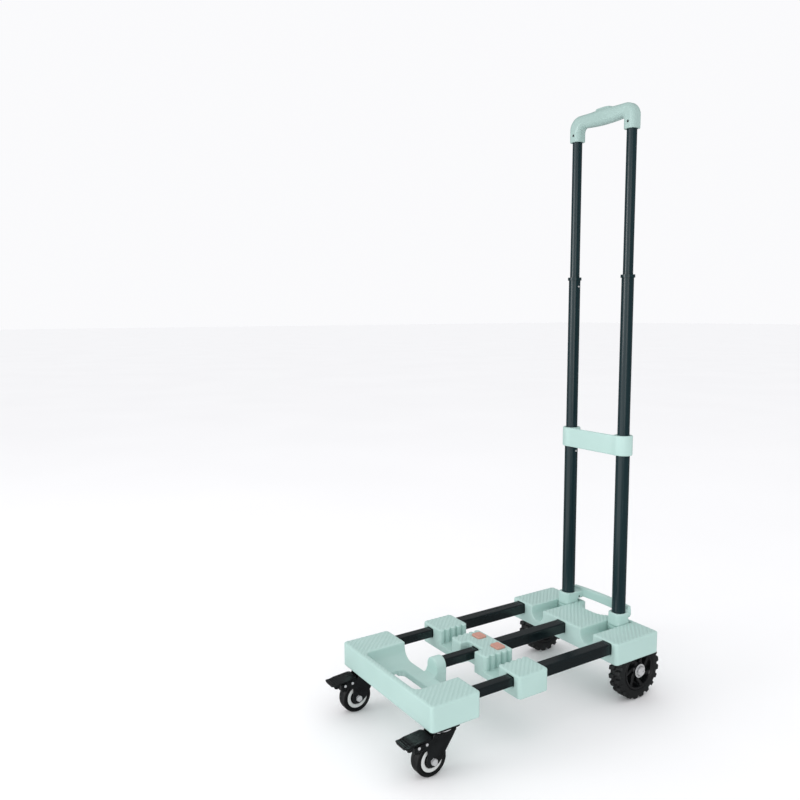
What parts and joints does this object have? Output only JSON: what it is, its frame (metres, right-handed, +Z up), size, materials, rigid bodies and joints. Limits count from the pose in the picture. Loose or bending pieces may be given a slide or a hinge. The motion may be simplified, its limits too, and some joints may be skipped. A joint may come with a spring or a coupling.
{
  "type": "folding platform cart",
  "caption": "Folding platform cart with ribbed pads on sliding rails, braked casters in front, lugged wheels behind and a telescopic two-tube handle.",
  "frame": {"origin": "middle of the cart's footprint box, on the floor", "axes": "+Z up, -Y towards the casters, +Y towards the handle, X across the cart"},
  "size_m": [0.255, 0.511, 0.9805],
  "materials": {
    "mint_plastic": "fine satin texture, ribbed on the pad tops",
    "black_tube": "satin black enamel with a faint green-grey sheen",
    "black_rail": "satin black enamel",
    "orange_plastic": "satin",
    "black_tyre": "matt rubber",
    "black_plastic": "satin",
    "grey_plastic": "satin",
    "black_metal": "satin black powder coat",
    "black_screw": "black oxide",
    "bright_steel": "bright zinc plate"
  },
  "bodies": {
    "rear_section": {"rear_block": "mint_plastic", "rear_rail_left": "black_rail", "rear_rail_centre": "black_rail", "rear_rail_right": "black_rail", "mid_support": "mint_plastic", "rail_screws": "bright_steel", "rear_axle_bolts": "bright_steel", "rear_axle_nuts": "bright_steel", "hinge_pins": "bright_steel", "release_spring_left": "bright_steel", "release_spring_right": "bright_steel"},
    "front_section": {"front_block": "mint_plastic", "front_rail_left": "black_rail", "front_rail_centre": "black_rail", "front_rail_right": "black_rail", "front_block_screws": "bright_steel", "caster_plate_left": "black_metal", "caster_plate_right": "black_metal", "caster_race_left": "bright_steel", "caster_race_right": "bright_steel", "caster_kingpin_left": "bright_steel", "caster_kingpin_right": "bright_steel"},
    "rear_wheel_left": {"rear_tyre_left": "black_tyre", "rear_hub_left": "black_plastic"},
    "rear_wheel_right": {"rear_tyre_right": "black_tyre", "rear_hub_right": "black_plastic"},
    "release_button_left": {"release_button_left": "orange_plastic"},
    "release_button_right": {"release_button_right": "orange_plastic"},
    "handle": {"yoke": "mint_plastic", "lower_tube_left": "black_tube", "lower_tube_right": "black_tube", "yoke_screws": "black_screw", "collar_bracket": "mint_plastic", "lower_tube_rivets": "bright_steel"},
    "handle_middle": {"middle_tube_left": "black_tube", "middle_tube_right": "black_tube", "middle_tube_glides": "black_plastic", "middle_tube_collars": "black_plastic", "middle_tube_rivets": "bright_steel"},
    "handle_upper": {"upper_tube_left": "black_tube", "upper_tube_right": "black_tube", "upper_tube_glides": "black_plastic", "grip": "mint_plastic", "grip_screws": "black_screw", "grip_spring": "bright_steel"},
    "grip_button": {"grip_button": "mint_plastic", "release_rods": "bright_steel"},
    "caster_left": {"caster_fork_left": "black_metal", "caster_axle_left": "bright_steel", "caster_pins_left": "bright_steel"},
    "caster_wheel_left": {"caster_tyre_left": "black_tyre", "caster_core_left": "grey_plastic"},
    "caster_brake_left": {"caster_pedal_left": "black_metal"},
    "caster_right": {"caster_fork_right": "black_metal", "caster_axle_right": "bright_steel", "caster_pins_right": "bright_steel"},
    "caster_wheel_right": {"caster_tyre_right": "black_tyre", "caster_core_right": "grey_plastic"},
    "caster_brake_right": {"caster_pedal_right": "black_metal"}
  },
  "joints": [
    {"name": "front_slide", "type": "slide", "parent": "rear_section", "child": "front_section", "axis": [0, 1, 0], "range_m": [0, 0.065]},
    {"name": "rear_wheel_left_spin", "type": "hinge", "parent": "rear_section", "child": "rear_wheel_left", "pos_m": [-0.11, 0.2065, 0.049], "axis": [1, 0, 0], "continuous": true},
    {"name": "rear_wheel_right_spin", "type": "hinge", "parent": "rear_section", "child": "rear_wheel_right", "pos_m": [0.11, 0.2065, 0.049], "axis": [1, 0, 0], "continuous": true},
    {"name": "caster_left_swivel", "type": "hinge", "parent": "front_section", "child": "caster_left", "pos_m": [-0.105, -0.1855, 0.066], "axis": [0, 0, 1], "continuous": true},
    {"name": "caster_left_spin", "type": "hinge", "parent": "caster_left", "child": "caster_wheel_left", "pos_m": [-0.105, -0.2075, 0.025], "axis": [1, 0, 0], "continuous": true},
    {"name": "caster_left_brake", "type": "hinge", "parent": "caster_left", "child": "caster_brake_left", "pos_m": [-0.105, -0.2185, 0.053], "axis": [1, 0, 0], "range_deg": [0, 6.5]},
    {"name": "caster_right_swivel", "type": "hinge", "parent": "front_section", "child": "caster_right", "pos_m": [0.105, -0.1855, 0.066], "axis": [0, 0, 1], "continuous": true},
    {"name": "caster_right_spin", "type": "hinge", "parent": "caster_right", "child": "caster_wheel_right", "pos_m": [0.105, -0.2075, 0.025], "axis": [1, 0, 0], "continuous": true},
    {"name": "caster_right_brake", "type": "hinge", "parent": "caster_right", "child": "caster_brake_right", "pos_m": [0.105, -0.2185, 0.053], "axis": [1, 0, 0], "range_deg": [0, 6.5]},
    {"name": "release_button_left_press", "type": "slide", "parent": "rear_section", "child": "release_button_left", "axis": [0, 0, -1], "range_m": [0, 0.004], "stiffness_N_per_m": 400, "springref_m": -0.004, "deforming": ["release_spring_left"]},
    {"name": "release_button_right_press", "type": "slide", "parent": "rear_section", "child": "release_button_right", "axis": [0, 0, -1], "range_m": [0, 0.004], "stiffness_N_per_m": 400, "springref_m": -0.004, "deforming": ["release_spring_right"]},
    {"name": "handle_fold", "type": "hinge", "parent": "rear_section", "child": "handle", "pos_m": [0, 0.2225, 0.1], "axis": [1, 0, 0], "range_deg": [0, 84]},
    {"name": "handle_middle_slide", "type": "slide", "parent": "handle", "child": "handle_middle", "axis": [0, 0, -1], "range_m": [0, 0.248]},
    {"name": "handle_upper_slide", "type": "slide", "parent": "handle_middle", "child": "handle_upper", "axis": [0, 0, -1], "range_m": [0, 0.228]},
    {"name": "grip_button_press", "type": "slide", "parent": "handle_upper", "child": "grip_button", "axis": [0, 0, -1], "range_m": [0, 0.0025], "stiffness_N_per_m": 1500, "springref_m": -0.004, "deforming": ["grip_spring"]}
  ]
}
